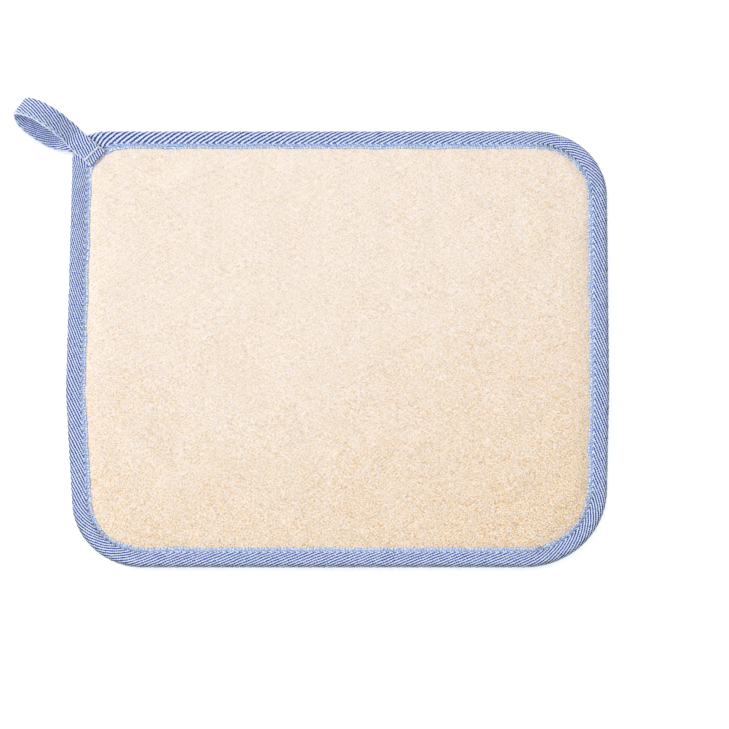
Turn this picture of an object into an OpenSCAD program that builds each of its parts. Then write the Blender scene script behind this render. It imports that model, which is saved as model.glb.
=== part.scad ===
// Loofah back scrubber: a bound scrub pad with a hanging loop at one corner.
// The pad lies on its terry back. The origin is the centre of the pad's underside, +X runs to the
// right along the long side, +Y up the short side towards the loop, and +Z out of the loofah face.

/* [Pad] */
// Width of the pad over the binding
pad_w = 270; // [240:1:300]
// Height of the pad over the binding
pad_h = 230; // [200:1:260]
// Thickness of the terry back in the field
terry_t = 1.9; // [1.5:0.1:2.1]
// Thickness of the foam core in the field
foam_t = 3.3; // [3:0.1:4]
// Thickness of the loofah face in the field
face_t = 1.5; // [1:0.1:2.5]

/* [Corners] */
// Radius of the top left corner, which carries the loop
loop_corner_r = 16; // [14:0.5:20]
// Radius of the top right corner
top_right_r = 35; // [28:1:45]
// Radius of the bottom right corner
bottom_right_r = 41; // [30:1:50]
// Radius of the bottom left corner
bottom_left_r = 35; // [30:1:50]
// How far the top left corner stands in from the left end of the pad
loop_corner_lean = 2.2; // [0:0.1:4]
// How far the top right corner stands in from the right end
top_right_lean = 0.4; // [0:0.1:4]
// How far the bottom right corner stands in from the right end
bottom_right_lean = 1.4; // [0:0.1:4]
// How far the bottom left corner stands in from the left end
bottom_left_lean = 3.5; // [0:0.1:4]
// Tightest inner corner that the folded tape can turn
inner_corner_r = 17; // [15:0.5:18]

/* [Binding] */
// Thickness of the twill tape
tape_t = 0.65; // [0.5:0.05:0.65]
// Width of the binding on each side of the pad
flange_w = 9.5; // [8:0.5:10]
// Thickness of the bound edge
edge_t = 4; // [3.8:0.1:4.2]
// Length of one stitch
stitch_len = 2.5; // [1.5:0.1:3]
// Distance from one stitch to the next
stitch_pitch = 3.5; // [3.2:0.1:5]

/* [Hanging loop] */
// Width of the strap, which is the tape folded in half
strap_w = 10.8; // [9:0.1:12]
// Direction of the strap, up from -X
loop_angle = 33; // [28:1:45]
// How far the front tab is turned on the corner, away from the direction of the strap
tab_turn = 9; // [0:1:10]
// Height of the middle of the upper strand at the top of its arch
arch_z = 13.6; // [13:0.1:15]

/* [Hidden] */
$fn = 64;

cream = [0.95, 0.90, 0.82];
blue = [0.55, 0.62, 0.82];
white = [0.97, 0.97, 0.98];
foam_yellow = [0.96, 0.93, 0.72];

// Heights: the bound edge is thinner than the padded field and floats at its mid-height.
edge_z = 1.7;
edge_top = edge_z + edge_t;
layer_t = (edge_t - 2 * tape_t) / 3;
back_z = edge_z + tape_t;
core_z = back_z + layer_t;
face_z = core_z + layer_t;
foam_top = terry_t + foam_t;
field_top = foam_top + face_t;

// Insets from the pad's outer edge
field_in = flange_w + 0.2;
foam_in = field_in + 1.6;
stitch_in = flange_w - 1.4;

// The left and right sides bow out between their corners.
bow_r = 93;
bow_y = -21;

thread_w = 0.5;
thread_t = 0.3;

// ---- Outline of the pad ----

// The corners, counter-clockwise: x, y, the way each one points, and its radius
CORNERS = [
    [bottom_left_lean - pad_w / 2, -pad_h / 2, -1, -1, bottom_left_r],
    [pad_w / 2 - bottom_right_lean, -pad_h / 2, 1, -1, bottom_right_r],
    [pad_w / 2 - top_right_lean, pad_h / 2, 1, 1, top_right_r],
    [loop_corner_lean - pad_w / 2, pad_h / 2, -1, 1, loop_corner_r]
];

// Circles that the outline wraps round, at a distance in from the edge: [x, y, radius]
function corner_circle(c, inset, least_r) =
    let (r = max(c[4] - inset, least_r))
    [c[0] - c[2] * (inset + r), c[1] - c[3] * (inset + r), r];
function bow_circle(side, inset) = [side * (pad_w / 2 - bow_r), bow_y, bow_r - inset];
function outline_circles(inset, least_r) =
    let (c = [for (corner = CORNERS) corner_circle(corner, inset, least_r)])
    [c[0], c[1], bow_circle(1, inset), c[2], c[3], bow_circle(-1, inset)];

// The outward normal of the straight side from circle a to circle b
function side_normal(a, b) =
    let (run = [b[0] - a[0], b[1] - a[1]])
    let (angle = atan2(run[1], run[0]) - 90 + asin((a[2] - b[2]) / norm(run)))
    [cos(angle), sin(angle)];
function next_of(list, i) = list[(i + 1) % len(list)];
function normals(circles) = [for (i = [0:len(circles) - 1]) side_normal(circles[i], next_of(circles, i))];
function touch(c, n) = [c[0], c[1]] + c[2] * n;

module outline(inset, least_r) {
    circles = outline_circles(inset, least_r);
    n = normals(circles);
    polygon([for (i = [0:len(circles) - 1]) each [touch(circles[i], n[i]), touch(next_of(circles, i), n[i])]]);
    for (c = circles)
        translate([c[0], c[1]])
            circle(c[2]);
}

// A full layer, out to the edge
module slab(inset, z_low, z_high) {
    translate([0, 0, z_low])
        linear_extrude(z_high - z_low)
            outline(inset, 0);
}

// The part of a layer that lies inside the binding's window
module field(inset, z_low, z_high) {
    translate([0, 0, z_low])
        linear_extrude(z_high - z_low)
            outline(inset, inner_corner_r);
}

// ---- Layers ----

module loofah_face() color(cream) difference() {
    union() {
        slab(tape_t, face_z, face_z + layer_t);
        field(field_in, face_z, field_top);
    }
    field(foam_in, 0, foam_top);
}

module foam_core() color(foam_yellow) {
    slab(tape_t, core_z, face_z);
    field(foam_in, terry_t, foam_top);
}

module terry_back() color(white) difference() {
    union() {
        slab(tape_t, back_z, core_z);
        field(field_in, 0, core_z);
    }
    field(foam_in, terry_t, field_top);
}

module edge_binding() color(blue) difference() {
    slab(0, edge_z, edge_top);
    slab(tape_t, back_z, edge_top - tape_t);
    field(flange_w, 0, field_top);
}

// ---- Binding stitches ----

module stitch() {
    translate([-stitch_len / 2, -thread_w / 2, 0])
        cube([stitch_len, thread_w, thread_t]);
}

// Places of the stitches along a straight from one point to another: [x, y, direction]
function line_places(from, to) =
    let (run = to - from)
    let (count = round(norm(run) / stitch_pitch))
    [for (k = [1:1:count]) [each from + run * (k - 0.5) / count, atan2(run[1], run[0])]];

// Places of the stitches round circle c, from normal n0 to normal n1
function arc_places(c, n0, n1) =
    let (start = atan2(n0[1], n0[0]))
    let (sweep = (atan2(n1[1], n1[0]) - start + 360) % 360)
    let (count = round(c[2] * sweep * PI / 180 / stitch_pitch))
    [
        for (k = [1:1:count])
            let (a = start + sweep * (k - 0.5) / count)
            [c[0] + c[2] * cos(a), c[1] + c[2] * sin(a), a + 90]
    ];

module stitches(places) {
    for (p = places)
        translate([p[0], p[1]])
            rotate(p[2])
                stitch();
}

// Whether a stitch would lie under the loop's tab, whose middle is at tab_y where it covers the row
function under_tab(p, tab_y) =
    let (c = corner_circle(CORNERS[3], 0, 0))
    let (d = [p[0] - c[0], p[1] - c[1]])
    let (out = d * [-cos(loop_angle), sin(loop_angle)])
    let (across = d * [-sin(loop_angle), -cos(loop_angle)])
    out > 0 && abs(across - tab_y) < (strap_w + stitch_len) / 2 + 0.2;

module binding_stitches(z, tab_y) color(white) translate([0, 0, z]) {
    circles = outline_circles(stitch_in, inner_corner_r);
    n = normals(circles);
    places = [
        for (i = [0:len(circles) - 1])
            let (next = next_of(circles, i))
            each concat(line_places(touch(circles[i], n[i]), touch(next, n[i])), arc_places(next, n[i], next_of(n, i)))
    ];
    stitches([for (p = places) if (!under_tab(p, tab_y)) p]);
}

module binding_needle_thread() binding_stitches(edge_top, strap_y + stitch_in * sin(tab_turn));

module binding_bobbin_thread() binding_stitches(edge_z - thread_t, strap_y);

// ---- Hanging loop: its sewn ends ----
// Here x runs out along the strap from the centre of the corner's arc, y across it and z up.

module at_loop() {
    c = corner_circle(CORNERS[3], 0, 0);
    translate([c[0], c[1], 0])
        rotate(180 - loop_angle)
            children();
}

strap_t = 2 * tape_t;
strap_y = -0.9;
front_tab_x = 2.6;
back_tab_x = 4;
tack_x = front_tab_x + 4.2;
edge_x = loop_corner_r;

// The fold line, where the loop swings on the corner
fold_x = edge_x + 4.2;
fold_z = 5.2;
fold_r = strap_t + 0.1;
fold_room = 0.4;

// The sewn ends stop here, short of the fold, so that the loop can stand up.
tab_end_x = edge_x + 1.6;

module fold_roll(radius, length) {
    translate([fold_x, strap_y, fold_z])
        rotate([90, 0, 0])
            cylinder(h = length, r = radius, center = true);
}

// Turns a tab on the corner, about its middle at the pad's edge
module turned(angle) {
    translate([edge_x, strap_y, 0])
        rotate(-angle)
            translate([-edge_x, -strap_y, 0])
                children();
}

// A plate of strap, from its side view in x and z, with room for the fold beside it
module sewn_tab(side_view, turn) color(blue) at_loop() difference() {
    turned(turn)
        translate([0, strap_y + strap_w / 2, 0])
            rotate([90, 0, 0])
                linear_extrude(strap_w)
                    polygon(side_view);
    fold_roll(fold_r + fold_room, strap_w + 2);
    translate([tab_end_x, -strap_w, 0])
        cube(2 * strap_w);
}

module loop_front_tab() {
    bend_x = edge_x + 0.2;
    lip_x = edge_x + 1.8;
    lip_z = edge_top - 0.7;
    side_view = [
        [front_tab_x, edge_top],
        [bend_x, edge_top],
        [lip_x, lip_z],
        [lip_x, lip_z + strap_t],
        [bend_x, edge_top + strap_t],
        [front_tab_x, edge_top + strap_t]
    ];
    sewn_tab(side_view, tab_turn);
}

module loop_back_tab() {
    rise_x = edge_x + 0.1;
    rise_z = fold_z - 0.7;
    bend = 0.7;
    side_view = [
        [back_tab_x, edge_z - strap_t],
        [rise_x + strap_t - bend, edge_z - strap_t],
        [rise_x + strap_t, edge_z - strap_t + bend],
        [rise_x + strap_t, rise_z],
        [rise_x, rise_z],
        [rise_x, edge_z],
        [back_tab_x, edge_z]
    ];
    sewn_tab(side_view, 0);
}

// A row of stitches across a tab
module tack(z, turn) color(white) at_loop() {
    ends = strap_w / 2 - 0.6;
    translate([0, 0, z])
        turned(turn)
            stitches(line_places([tack_x, strap_y - ends], [tack_x, strap_y + ends]));
}

module loop_front_tack() tack(edge_top + strap_t, tab_turn);

module loop_back_tack() tack(edge_z - strap_t - thread_t, 0);

// ---- Hanging loop: the free strap ----

// Its centre line, with the roll of the strap at each point: [x, y, z, roll]
strap_rise = fold_r - strap_t / 2;
strap_start = fold_x + 0.5;
STRAP = [
    [strap_start, -1.7, fold_z + strap_rise, 0],
    [25, -2.2, 8.3, 0],
    [31, -2.2, arch_z - 1.7, 0],
    [37, -2, arch_z, 2],
    [44, -1.6, arch_z - 0.9, 4],
    [49.2, -0.9, arch_z - 3.6, 6],
    [51, -0.2, 6.8, 10],
    [49, 1.3, 3.9, 18],
    [44.5, 3.7, 3.1, 24],
    [39, 4.8, 3.2, 27],
    [34, 4.9, 3.1, 25],
    [29, 4.3, 2.7, 18],
    [24.8, 2.8, 3, 9],
    [strap_start, 0.3, fold_z - strap_rise, 0]
];
spans = len(STRAP) - 1;
span_steps = 4;
rings = spans * span_steps;

// A smooth curve from b to c, whose neighbours are a and d
function curve(a, b, c, d, t) =
    b + ((c - a) * t + (2 * a - 5 * b + 4 * c - d) * pow(t, 2) + (3 * b - a - 3 * c + d) * pow(t, 3)) / 2;

// The strap's place and roll at ring i, which may lie between two rings
function strap_at(i) =
    let (k = min(floor(i / span_steps), spans - 1))
    curve(STRAP[max(k - 1, 0)], STRAP[k], STRAP[k + 1], STRAP[min(k + 2, spans)], i / span_steps - k);
function place(p) = [p[0], p[1], p[2]];
function unit(v) = v / norm(v);

// The strap's section at ring i, between two distances across it and two heights over its middle
function section(i, near, far, low, high) =
    let (p = strap_at(i))
    let (along = unit(place(strap_at(min(i + 1, rings))) - place(strap_at(max(i - 1, 0)))))
    let (level = [0, cos(p[3]), sin(p[3])])
    let (across = unit(level - along * (level * along)))
    let (over = cross(along, across))
    [for (c = [[near, low], [far, low], [far, high], [near, high]]) place(p) + across * c[0] + over * c[1]];

// A closed ribbon through a list of sections
module ribbon(sections) {
    last = 4 * (len(sections) - 1);
    walls = [
        for (i = [0:4:last - 4], k = [0:3])
            let (a = i + k, b = i + (k + 1) % 4)
            each [[b, a, a + 4], [b + 4, b, a + 4]]
    ];
    ends = [[0, 1, 2], [0, 2, 3], [last + 2, last + 1, last], [last + 3, last + 2, last]];
    polyhedron([for (s = sections) each s], concat(walls, ends));
}

module hanging_loop() color(blue) at_loop() {
    ribbon([for (i = [0:rings]) section(i, -strap_w / 2, strap_w / 2, -strap_t / 2, strap_t / 2)]);
    fold_roll(fold_r, strap_w);
}

// Stitches beside the open edge of the folded strap, on one face of it
module seam_face(low) {
    seam_y = strap_w / 2 - 1.5;
    seam_steps = 2.4;
    seam_gap = 0.7;
    for (i = [3:seam_steps:rings - 5])
        ribbon([
            for (k = [i, i + seam_steps - seam_gap])
                section(k, seam_y - thread_w / 2, seam_y + thread_w / 2, low, low + thread_t)
        ]);
}

module loop_edge_seam() color(white) at_loop() {
    seam_face(strap_t / 2);
    seam_face(-strap_t / 2 - thread_t);
}

loofah_face();
foam_core();
terry_back();
edge_binding();
binding_needle_thread();
binding_bobbin_thread();
loop_front_tab();
loop_back_tab();
hanging_loop();
loop_edge_seam();
loop_front_tack();
loop_back_tack();
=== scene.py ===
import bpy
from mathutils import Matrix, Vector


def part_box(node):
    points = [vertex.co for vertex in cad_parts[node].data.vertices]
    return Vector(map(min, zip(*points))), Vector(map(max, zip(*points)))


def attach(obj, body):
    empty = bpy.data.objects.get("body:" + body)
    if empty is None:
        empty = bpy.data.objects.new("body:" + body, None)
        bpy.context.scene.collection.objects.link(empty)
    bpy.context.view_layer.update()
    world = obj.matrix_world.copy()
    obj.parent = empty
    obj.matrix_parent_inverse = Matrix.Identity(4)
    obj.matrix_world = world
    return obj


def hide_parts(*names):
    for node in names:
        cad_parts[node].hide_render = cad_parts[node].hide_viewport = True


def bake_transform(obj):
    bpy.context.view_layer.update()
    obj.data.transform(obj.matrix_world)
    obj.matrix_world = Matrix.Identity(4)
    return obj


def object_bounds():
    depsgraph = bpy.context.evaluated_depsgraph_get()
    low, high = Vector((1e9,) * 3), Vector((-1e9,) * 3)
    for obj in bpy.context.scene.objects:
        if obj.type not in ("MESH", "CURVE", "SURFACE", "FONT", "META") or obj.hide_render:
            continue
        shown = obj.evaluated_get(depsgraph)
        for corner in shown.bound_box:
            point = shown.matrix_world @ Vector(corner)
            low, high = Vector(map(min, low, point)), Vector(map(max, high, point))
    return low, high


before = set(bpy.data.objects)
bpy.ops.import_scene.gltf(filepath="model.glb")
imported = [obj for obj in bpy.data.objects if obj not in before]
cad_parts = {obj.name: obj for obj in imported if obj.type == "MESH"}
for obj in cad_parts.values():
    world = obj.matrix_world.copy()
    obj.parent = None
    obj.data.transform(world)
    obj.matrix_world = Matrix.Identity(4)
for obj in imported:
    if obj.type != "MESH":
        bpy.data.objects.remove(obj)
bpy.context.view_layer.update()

import math

import bpy
import numpy as np
from mathutils import Vector

# Shapes are worked out in millimetres, in the frame of the CAD model, and become metres in make_piece.
MM = 0.001
TURN = 2 * math.pi


def box_mm(node):
    """The lowest and highest corner of a CAD node, in millimetres."""
    low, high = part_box(node)
    return np.array(low) / MM, np.array(high) / MM


(LEFT, BOTTOM, EDGE_Z), (RIGHT, TOP, EDGE_TOP) = box_mm("edge_binding")
FIELD_TOP = box_mm("loofah_face")[1][2]
EDGE_MID = (EDGE_Z + EDGE_TOP) / 2

# How thick the loofah cloth, the terry and the tape are
FACE_T = 1.5
TERRY_T = 1.9
TAPE_T = 0.65

# The binding: how far it reaches in, the least corner radius of its window, and its stitches
FLANGE = 9.5
INNER_CORNER_R = 17
STITCH_IN = 8.1
STITCH_LEN = 2.5
STITCH_PITCH = 3.5

# The corners of the pad, counter-clockwise: x, y, the way each one points, and its radius
LOOP_CORNER = (LEFT + 2.2, TOP, -1, 1, 16)
CORNERS = [
    (LEFT + 3.5, BOTTOM, -1, -1, 35),
    (RIGHT - 1.4, BOTTOM, 1, -1, 41),
    (RIGHT - 0.4, TOP, 1, 1, 35),
    LOOP_CORNER,
]
# The left and right sides bow out between their corners, on arcs with this radius and these centres in y.
BOW_R = 93
BOW_Y = -21
# How many directions the outline's reach is measured in
DIRECTIONS = 360
# Points of the outline at least this far from the pad's middle belong to its left or right side.
SIDE_FROM = 40


# ---- Helpers: numbers ----


def ring_noise(share, waves, seed):
    """Smooth random values round a closed ring, mostly from -1 to 1, with about that many waves."""
    random = np.random.default_rng(seed)
    total = np.zeros_like(share)
    for _ in range(8):
        count = round(waves * random.uniform(0.5, 1.5))
        total += np.sin(TURN * (count * share + random.random()))
    return total / 3


def soft_noise(x, y, size, seed, stretch=1.0):
    """Smooth random hills about size across, mostly from -1 to 1. stretch makes them longer along x."""
    random = np.random.default_rng(seed)
    total = np.zeros_like(x)
    for _ in range(20):
        angle = random.uniform(0, math.pi)
        pitch = size * random.uniform(0.7, 1.6)
        across = x * math.cos(angle) / stretch + y * math.sin(angle)
        total += np.sin(TURN * (across / pitch + random.random()))
    return total / 4.5


def smooth(value, low, high):
    """0 up to low, 1 from high, and a smooth step in between."""
    t = np.clip((value - low) / (high - low), 0, 1)
    return t * t * (3 - 2 * t)


def bump(value, middle, width):
    """1 at middle, fading to 0 over about twice this width on each side."""
    return np.exp(-(((value - middle) / width) ** 2))


def lengths_along(points):
    """How far each of these points lies along the line through them."""
    return np.concatenate([[0], np.cumsum(np.linalg.norm(np.diff(points, axis=0), axis=1))])


def widened(grid, row):
    """The grid with more columns, which hold the same values in every row."""
    return np.concatenate([grid, np.broadcast_to(row, (len(grid), len(row)))], axis=1)


def spline(points, step):
    """Points about step apart on the smooth curve through these points, and their distances along it. Three
    columns are places, and any others are carried along."""
    p = np.array(points, float)
    p = np.vstack([2 * p[0] - p[1], p, 2 * p[-1] - p[-2]])
    t = np.linspace(0, 1, 24, endpoint=False)[:, None]
    parts = []
    for a, b, c, d in zip(p, p[1:], p[2:], p[3:]):
        curve = (c - a) * t + (2 * a - 5 * b + 4 * c - d) * t**2 + (3 * b - a - 3 * c + d) * t**3
        parts.append(b + curve / 2)
    fine = np.vstack([*parts, p[-2:-1]])
    along = lengths_along(fine[:, :3])
    at = np.linspace(0, along[-1], round(along[-1] / step) + 1)
    return np.stack([np.interp(at, along, fine[:, k]) for k in range(fine.shape[1])], axis=1), at


# ---- Helpers: the pad's outline ----


class Outline:
    """The pad's outline at a distance in from its edge: straights and arcs in turn, counter-clockwise."""

    def __init__(self, inset, least_r=0.0):
        circles = []
        for x, y, way_x, way_y, radius in CORNERS:
            r = max(radius - inset, least_r)
            circles.append((x - way_x * (inset + r), y - way_y * (inset + r), r))
        circles.insert(2, (RIGHT - BOW_R, BOW_Y, BOW_R - inset))
        circles.append((LEFT + BOW_R, BOW_Y, BOW_R - inset))
        self.circles = np.array(circles)
        self.next = np.roll(self.circles, -1, axis=0)
        run = self.next - self.circles
        distance = np.hypot(run[:, 0], run[:, 1])
        self.angles = np.arctan2(run[:, 1], run[:, 0]) - math.pi / 2 - np.arcsin(run[:, 2] / distance)
        self.sweeps = (np.roll(self.angles, -1) - self.angles) % TURN

    def at(self, part, share):
        """Points on part number part, at shares of its length. Even parts are straights and odd ones arcs."""
        i, is_arc = divmod(part, 2)
        angle = self.angles[i] + self.sweeps[i] * share * is_arc
        normal = np.stack([np.cos(angle), np.sin(angle)], axis=-1)
        end = self.next[i, :2] + self.next[i, 2] * normal
        if is_arc:
            return end
        start = self.circles[i, :2] + self.circles[i, 2] * normal
        return start + (end - start) * share[:, None]

    def inside(self, x, y):
        """How far each point lies inside the outline, less than 0 outside it."""
        least = np.full(x.shape, np.inf)
        for angle in np.concatenate([np.linspace(0, TURN, DIRECTIONS, endpoint=False), self.angles]):
            way_x, way_y = math.cos(angle), math.sin(angle)
            reach = self.circles[:, 0] * way_x + self.circles[:, 1] * way_y + self.circles[:, 2]
            least = np.minimum(least, reach.max() - x * way_x - y * way_y)
        return least


def round_pad(step):
    """Places about step apart round the pad: points on its edge, points on the window, and distances."""
    edge, opening = Outline(0), Outline(FLANGE, INNER_CORNER_R)
    outer, inner = [], []
    for part in range(2 * len(edge.circles)):
        length = lengths_along(edge.at(part, np.linspace(0, 1, 50)))[-1]
        share = np.linspace(0, 1, max(1, round(length / step)), endpoint=False)
        outer.append(edge.at(part, share))
        inner.append(opening.at(part, share))
    outer, inner = np.vstack(outer), np.vstack(inner)
    return outer, inner, lengths_along(np.vstack([outer, outer[:1]]))


# ---- Helpers: meshes ----


def make_piece(name, points, faces, body=None):
    """A smooth-shaded mesh object, from points in millimetres."""
    mesh = bpy.data.meshes.new(name)
    mesh.from_pydata((np.asarray(points) * MM).tolist(), [], faces)
    mesh.shade_smooth()
    piece = bpy.data.objects.new(name, mesh)
    bpy.context.scene.collection.objects.link(piece)
    if body:
        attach(piece, body)
    return piece


def dress(piece, material):
    """Gives the piece its material."""
    piece.data.materials.append(material)


def fitted_grid(inset, step, multiple):
    """Points in rows across the pad, each row from one side of the outline to the other: x and y arrays."""
    outline = Outline(inset)
    share = np.linspace(0, 1, 200)
    rim = np.vstack([outline.at(part, share) for part in range(2 * len(outline.circles))])
    middle = (LEFT + RIGHT) / 2
    low, high = rim[:, 1].min(), rim[:, 1].max()
    rows = multiple * round((high - low) / step / multiple)
    columns = multiple * round((RIGHT - LEFT) / step / multiple)
    y = np.linspace(low, high, rows + 1)
    sides = []
    for side in (rim[rim[:, 0] < middle - SIDE_FROM], rim[rim[:, 0] > middle + SIDE_FROM]):
        spread = abs(side[:, 0] - middle)
        order = np.lexsort((spread, side[:, 1]))
        heights, first = np.unique(np.round(side[order, 1], 6)[::-1], return_index=True)
        sides.append(np.interp(y, heights, side[order, 0][::-1][first]))
    x = sides[0][:, None] + (sides[1] - sides[0])[:, None] * np.linspace(0, 1, columns + 1)
    return x, np.repeat(y[:, None], columns + 1, axis=1)


def cloth_shell(name, x, y, shown, hidden, every, body="pad"):
    """A closed piece of cloth between two surfaces on one grid. A cell of its hidden side covers
    every * every cells of its shown side."""
    flip = -1 if (shown - hidden).mean() < 0 else 1
    rows, columns = x.shape[0] - 1, x.shape[1] - 1
    front = np.arange(x.size).reshape(x.shape)
    lining = x.size + np.arange((rows // every + 1) * (columns // every + 1)).reshape(rows // every + 1, -1)
    coarse = (slice(None, None, every), slice(None, None, every))
    points = np.vstack([
        np.stack([x, y, shown], axis=-1).reshape(-1, 3),
        np.stack([x[coarse], y[coarse], hidden[coarse]], axis=-1).reshape(-1, 3),
    ])
    quads = np.stack([front[:-1, :-1], front[:-1, 1:], front[1:, 1:], front[1:, :-1]], axis=-1)
    backs = np.stack([lining[:-1, :-1], lining[1:, :-1], lining[1:, 1:], lining[:-1, 1:]], axis=-1)
    faces = np.vstack([quads.reshape(-1, 4), backs.reshape(-1, 4)])[:, ::flip].tolist()
    rims = [
        (front[0], lining[0]),
        (front[:, -1], lining[:, -1]),
        (front[-1, ::-1], lining[-1, ::-1]),
        (front[::-1, 0], lining[::-1, 0]),
    ]
    for fine, wide in rims:
        for k in range(len(wide) - 1):
            face = [*wide[k:k + 2], *fine[k * every:k * every + every + 1][::-1]]
            faces.append([int(v) for v in face[::flip]])
    return make_piece(name, points, faces, body)


def ring_faces(count, ring, closed):
    """Quads between rings of points, each ring closed on itself. closed joins the last ring to the first."""
    i = np.arange(count if closed else count - 1)[:, None]
    k = np.arange(ring)[None, :]
    following, beside = (i + 1) % count, (k + 1) % ring
    corners = [i * ring + k, i * ring + beside, following * ring + beside, following * ring + k]
    return np.stack(corners, axis=-1).reshape(-1, 4)


def mark_tape(piece, along, from_edge, shift=0.0):
    """Stores each face corner's place on the tape, in millimetres: along it, across its pattern, and from its
    edge. shift moves the pattern towards the edge, so that its pale band there is left out."""
    attribute = piece.data.attributes.new("tape", "FLOAT_VECTOR", "CORNER")
    values = np.stack([along.ravel(), from_edge.ravel() + shift, from_edge.ravel()], axis=-1)
    attribute.data.foreach_set("vector", values.astype(np.float32).ravel())


def mark_painted_shade(piece, depth):
    """Stores how dark the painted shade is at each point, from 0 to 1."""
    attribute = piece.data.attributes.new("painted_shade", "FLOAT", "POINT")
    attribute.data.foreach_set("value", depth.astype(np.float32).ravel())


def tubes(name, paths, radius, body):
    """Thread: a tube along each path, with rounded ends. All paths have the same number of points."""
    count, steps = paths.shape[:2]
    sides = 8
    along = np.gradient(paths, axis=1)
    along /= np.linalg.norm(along, axis=2, keepdims=True)
    across = np.cross(along, np.array([0.0, 0.0, 1.0]))
    across /= np.linalg.norm(across, axis=2, keepdims=True)
    over = np.cross(across, along)
    turn = np.linspace(0, TURN, sides, endpoint=False)
    # The tube keeps its full radius nearly to its ends.
    taper = np.sqrt(1 - np.linspace(-0.97, 0.97, steps) ** 8)[None, :, None, None]
    ring = across[:, :, None] * np.cos(turn)[:, None] + over[:, :, None] * np.sin(turn)[:, None]
    points = (paths[:, :, None] + radius * taper * ring).reshape(-1, 3)
    one = ring_faces(steps, sides, False)
    faces = []
    for n in range(count):
        start = n * steps * sides
        faces += (one + start).tolist()
        faces.append(list(range(start, start + sides))[::-1])
        faces.append(list(range(start + (steps - 1) * sides, start + steps * sides)))
    return make_piece(name, points, faces, body)


# ---- Helpers: materials ----


class Finish:
    """A procedural material on one Principled shader, with short calls for the nodes that it is made of."""

    def __init__(self, name, roughness, sheen, specular=0.3):
        self.material = bpy.data.materials.new(name)
        self.material.use_nodes = True
        self.nodes = self.material.node_tree.nodes
        self.links = self.material.node_tree.links
        self.shader = self.nodes["Principled BSDF"]
        self.shader.inputs["Roughness"].default_value = roughness
        self.shader.inputs["Sheen Weight"].default_value = sheen
        self.shader.inputs["Sheen Roughness"].default_value = 0.5
        self.shader.inputs["Specular IOR Level"].default_value = specular
        place = self.nodes.new("ShaderNodeTexCoord")
        self.place = self.scaled(place.outputs["Object"], (1 / MM, 1 / MM, 1 / MM))

    def feed(self, socket, value):
        if isinstance(value, bpy.types.NodeSocket):
            self.links.new(value, socket)
        else:
            socket.default_value = value

    def scaled(self, vector, scale):
        node = self.nodes.new("ShaderNodeVectorMath")
        node.operation = "MULTIPLY"
        self.feed(node.inputs[0], vector)
        self.feed(node.inputs[1], scale)
        return node.outputs[0]

    def turned(self, vector, degrees):
        node = self.nodes.new("ShaderNodeVectorRotate")
        node.rotation_type = "Z_AXIS"
        self.feed(node.inputs["Vector"], vector)
        node.inputs["Angle"].default_value = math.radians(degrees)
        return node.outputs[0]

    def parts(self, vector):
        node = self.nodes.new("ShaderNodeSeparateXYZ")
        self.feed(node.inputs[0], vector)
        return node.outputs[0], node.outputs[1], node.outputs[2]

    def math(self, operation, a, b=0.0, c=0.0):
        node = self.nodes.new("ShaderNodeMath")
        node.operation = operation
        for socket, value in zip(node.inputs, (a, b, c)):
            self.feed(socket, value)
        return node.outputs[0]

    def add(self, *values):
        total = values[0]
        for value in values[1:]:
            total = self.math("ADD", total, value)
        return total

    def times(self, a, b):
        return self.math("MULTIPLY", a, b)

    def step(self, value, low, high):
        node = self.nodes.new("ShaderNodeMapRange")
        node.interpolation_type = "SMOOTHSTEP"
        self.feed(node.inputs["Value"], value)
        node.inputs["From Min"].default_value = low
        node.inputs["From Max"].default_value = high
        return node.outputs["Result"]

    def wave(self, turns):
        """0 to 1 and back once for each whole turn, from 0.5."""
        return self.math("MULTIPLY_ADD", self.math("SINE", self.times(turns, TURN)), 0.5, 0.5)

    def noise(self, vector, size, detail=2.0, rough=0.5):
        """Noise from about 0 to 1, with lumps about size across, where the vector is in millimetres."""
        node = self.nodes.new("ShaderNodeTexNoise")
        self.feed(node.inputs["Vector"], vector)
        node.inputs["Scale"].default_value = 1 / size
        node.inputs["Detail"].default_value = detail
        node.inputs["Roughness"].default_value = rough
        return node.outputs["Fac"]

    def cells(self, vector, size):
        """Scattered cells about size across: the distance from the middle of the nearest one, in sizes."""
        node = self.nodes.new("ShaderNodeTexVoronoi")
        self.feed(node.inputs["Vector"], vector)
        node.inputs["Scale"].default_value = 1 / size
        return node.outputs["Distance"]

    def mix(self, share, a, b):
        node = self.nodes.new("ShaderNodeMix")
        node.data_type = "RGBA"
        self.feed(node.inputs[0], share)
        for socket, colour in ((node.inputs[6], a), (node.inputs[7], b)):
            self.feed(socket, colour if isinstance(colour, bpy.types.NodeSocket) else (*colour, 1))
        return node.outputs[2]

    def choose(self, share, a, b):
        """a where share is 0 and b where it is 1, for plain numbers."""
        node = self.nodes.new("ShaderNodeMix")
        self.feed(node.inputs[0], share)
        self.feed(node.inputs[2], a)
        self.feed(node.inputs[3], b)
        return node.outputs[0]

    def done(self, colour, relief, depth):
        """The finished material: a colour, and a relief from 0 to 1 that is depth millimetres high."""
        self.feed(self.shader.inputs["Base Color"], colour)
        bump = self.nodes.new("ShaderNodeBump")
        bump.inputs["Distance"].default_value = depth * MM
        self.feed(bump.inputs["Height"], relief)
        self.feed(self.shader.inputs["Normal"], bump.outputs["Normal"])
        return self.material


def srgb(*display):
    """A colour from its red, green and blue display values, each from 0 to 255."""
    shares = [value / 255 for value in display]
    return tuple(v / 12.92 if v < 0.04 else ((v + 0.055) / 1.055) ** 2.4 for v in shares)


# ---- Materials ----

# How much light the floor gives off
FLOOR_GLOW = 0.4

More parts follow.
